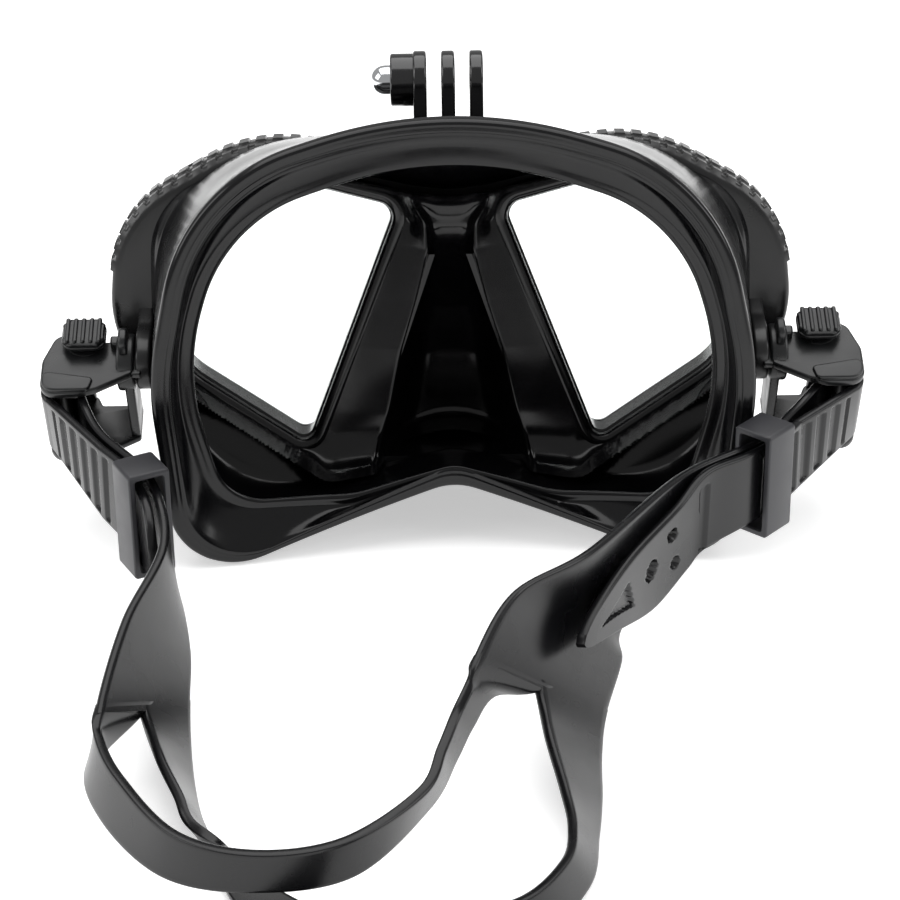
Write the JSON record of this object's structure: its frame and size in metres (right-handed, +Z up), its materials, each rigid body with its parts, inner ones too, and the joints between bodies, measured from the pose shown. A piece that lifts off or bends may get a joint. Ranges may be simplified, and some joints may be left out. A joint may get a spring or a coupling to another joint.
{
  "type": "diving mask",
  "caption": "Two-lens diving mask with a silicone skirt, ribbed rim, three-finger camera base, swivelling buckles and a split strap.",
  "frame": {"origin": "on the resting surface, in the middle plane, under the middle of the whole length, mask and strap together", "axes": "+X to the wearer's right, +Y forward through the lenses, +Z up; the strap lies towards -Y"},
  "size_m": [0.1818, 0.1954, 0.1005],
  "materials": {
    "skirt_silicone": "gloss moulded liquid silicone",
    "frame_plastic": "satin moulded polycarbonate",
    "bezel_plastic": "satin-gloss moulded polycarbonate",
    "tempered_glass": "clear tempered float glass, polished edge",
    "mount_plastic": "gloss moulded nylon",
    "screw_steel": "stainless steel",
    "nut_chrome": "polished chrome plate",
    "pin_plastic": "satin acetal",
    "pin_steel": "drawn stainless steel",
    "buckle_plastic": "satin moulded polycarbonate",
    "keeper_plastic": "satin moulded acetal",
    "strap_silicone": "satin moulded silicone"
  },
  "bodies": {
    "mask": {"skirt": "skirt_silicone", "frame": "frame_plastic", "lens_left": "tempered_glass", "lens_right": "tempered_glass", "bezel_left": "bezel_plastic", "bezel_right": "bezel_plastic", "camera_mount": "mount_plastic", "mount_screws": "screw_steel", "acorn_nut": "nut_chrome", "swivel_pin_left": "pin_plastic", "swivel_pin_right": "pin_plastic"},
    "buckle_left": {"buckle_left": "buckle_plastic", "roller_pin_left": "pin_steel", "button_spring_left": "pin_steel"},
    "buckle_right": {"buckle_right": "buckle_plastic", "roller_pin_right": "pin_steel", "button_spring_right": "pin_steel"},
    "strap": {"strap": "strap_silicone"},
    "roller_left": {"roller_left": "pin_plastic"},
    "button_left": {"button_left": "buckle_plastic"},
    "keeper_left": {"keeper_left": "keeper_plastic"},
    "roller_right": {"roller_right": "pin_plastic"},
    "button_right": {"button_right": "buckle_plastic"},
    "keeper_right": {"keeper_right": "keeper_plastic"}
  },
  "joints": [
    {"name": "buckle_left_swivel", "type": "hinge", "parent": "mask", "child": "buckle_left", "pos_m": [-0.0703, 0.0678, 0.0375], "axis": [1, 0, 0], "range_deg": [-35, 2]},
    {"name": "buckle_right_swivel", "type": "hinge", "parent": "mask", "child": "buckle_right", "pos_m": [0.0703, 0.0678, 0.0375], "axis": [1, 0, 0], "range_deg": [-35, 2]},
    {"name": "strap_swing", "type": "hinge", "parent": "mask", "child": "strap", "pos_m": [0, 0.0678, 0.0375], "axis": [1, 0, 0], "range_deg": [-35, 2]},
    {"name": "roller_left_spin", "type": "hinge", "parent": "buckle_left", "child": "roller_left", "pos_m": [-0.0863, 0.06357, 0.02662], "axis": [0, -0.3746, 0.9272], "continuous": true},
    {"name": "button_left_press", "type": "slide", "parent": "buckle_left", "child": "button_left", "axis": [0, 0.3746, -0.9272], "range_m": [0, 0.0012], "stiffness_N_per_m": 900, "springref_m": -0.0008, "deforming": ["button_spring_left"]},
    {"name": "keeper_left_slide", "type": "slide", "parent": "strap", "child": "keeper_left", "axis": [0.4682, -0.8836, 0], "range_m": [-0.002, 0.002]},
    {"name": "roller_right_spin", "type": "hinge", "parent": "buckle_right", "child": "roller_right", "pos_m": [0.0863, 0.06357, 0.02662], "axis": [0, -0.3746, 0.9272], "continuous": true},
    {"name": "button_right_press", "type": "slide", "parent": "buckle_right", "child": "button_right", "axis": [0, 0.3746, -0.9272], "range_m": [0, 0.0012], "stiffness_N_per_m": 900, "springref_m": -0.0008, "deforming": ["button_spring_right"]},
    {"name": "keeper_right_slide", "type": "slide", "parent": "strap", "child": "keeper_right", "axis": [-0.6741, -0.7386, 0], "range_m": [0, 0.002]}
  ],
  "couplings": [
    {"joint": "buckle_left_swivel", "follows": "strap_swing", "ratio": 1},
    {"joint": "buckle_right_swivel", "follows": "strap_swing", "ratio": 1}
  ]
}
